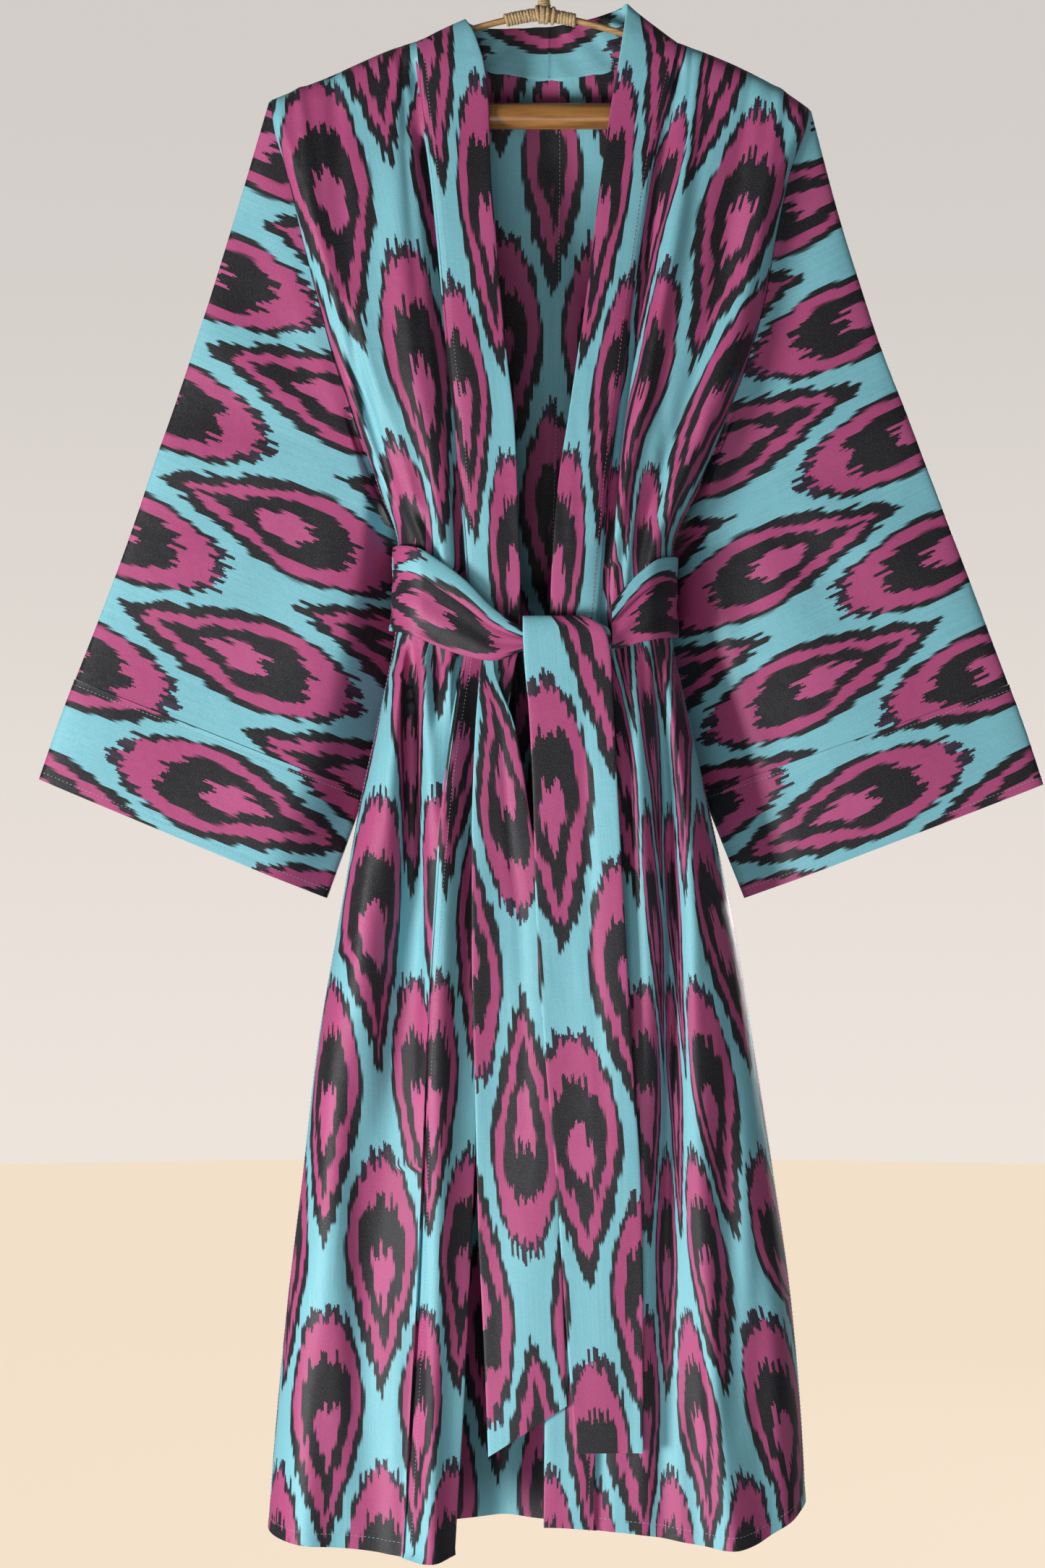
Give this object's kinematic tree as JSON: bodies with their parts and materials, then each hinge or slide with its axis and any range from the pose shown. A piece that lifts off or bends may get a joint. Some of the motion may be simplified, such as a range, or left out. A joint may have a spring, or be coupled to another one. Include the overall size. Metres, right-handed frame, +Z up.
{
  "type": "ikat caftan on a wooden hanger",
  "caption": "Long open robe of ikat cloth with wide sleeves, a band round its front edges and neck and a tied cloth belt, hanging on a wooden bar hanger with a wire hook.",
  "frame": {"origin": "where the inside of the wire hook rests on a rail or a peg", "axes": "+Z up along the hanging robe, +X to the viewer's right along the bar, +Y from the open front to the back"},
  "size_m": [0.8032, 0.1586, 1.2974],
  "materials": {
    "ikat_cotton": "plain woven cotton with a soft sheen, dyed in turquoise, magenta and black",
    "ikat_belt": "the same ikat cloth, doubled",
    "varnished_wood": "satin varnish over warm brown grain",
    "split_bamboo": "smooth, lightly oiled",
    "wound_twine": "matt natural twine",
    "bent_steel": "plain bent wire"
  },
  "bodies": {
    "root": {"back_left": "ikat_cotton", "back_right": "ikat_cotton", "front_left": "ikat_cotton", "front_right": "ikat_cotton", "band_left": "ikat_cotton", "band_right": "ikat_cotton", "sleeve_left": "ikat_cotton", "sleeve_right": "ikat_cotton", "cuff_left": "ikat_cotton", "cuff_right": "ikat_cotton", "belt_left": "ikat_belt", "belt_right": "ikat_belt", "belt_back": "ikat_belt", "belt_knot": "ikat_belt", "belt_tail_left": "ikat_belt", "belt_tail_right": "ikat_belt", "hanger_dowel": "varnished_wood", "hanger_strip": "split_bamboo", "hanger_wrap": "wound_twine", "hanger_hook": "bent_steel", "hanger_hook_base": "wound_twine"}
  },
  "joints": []
}
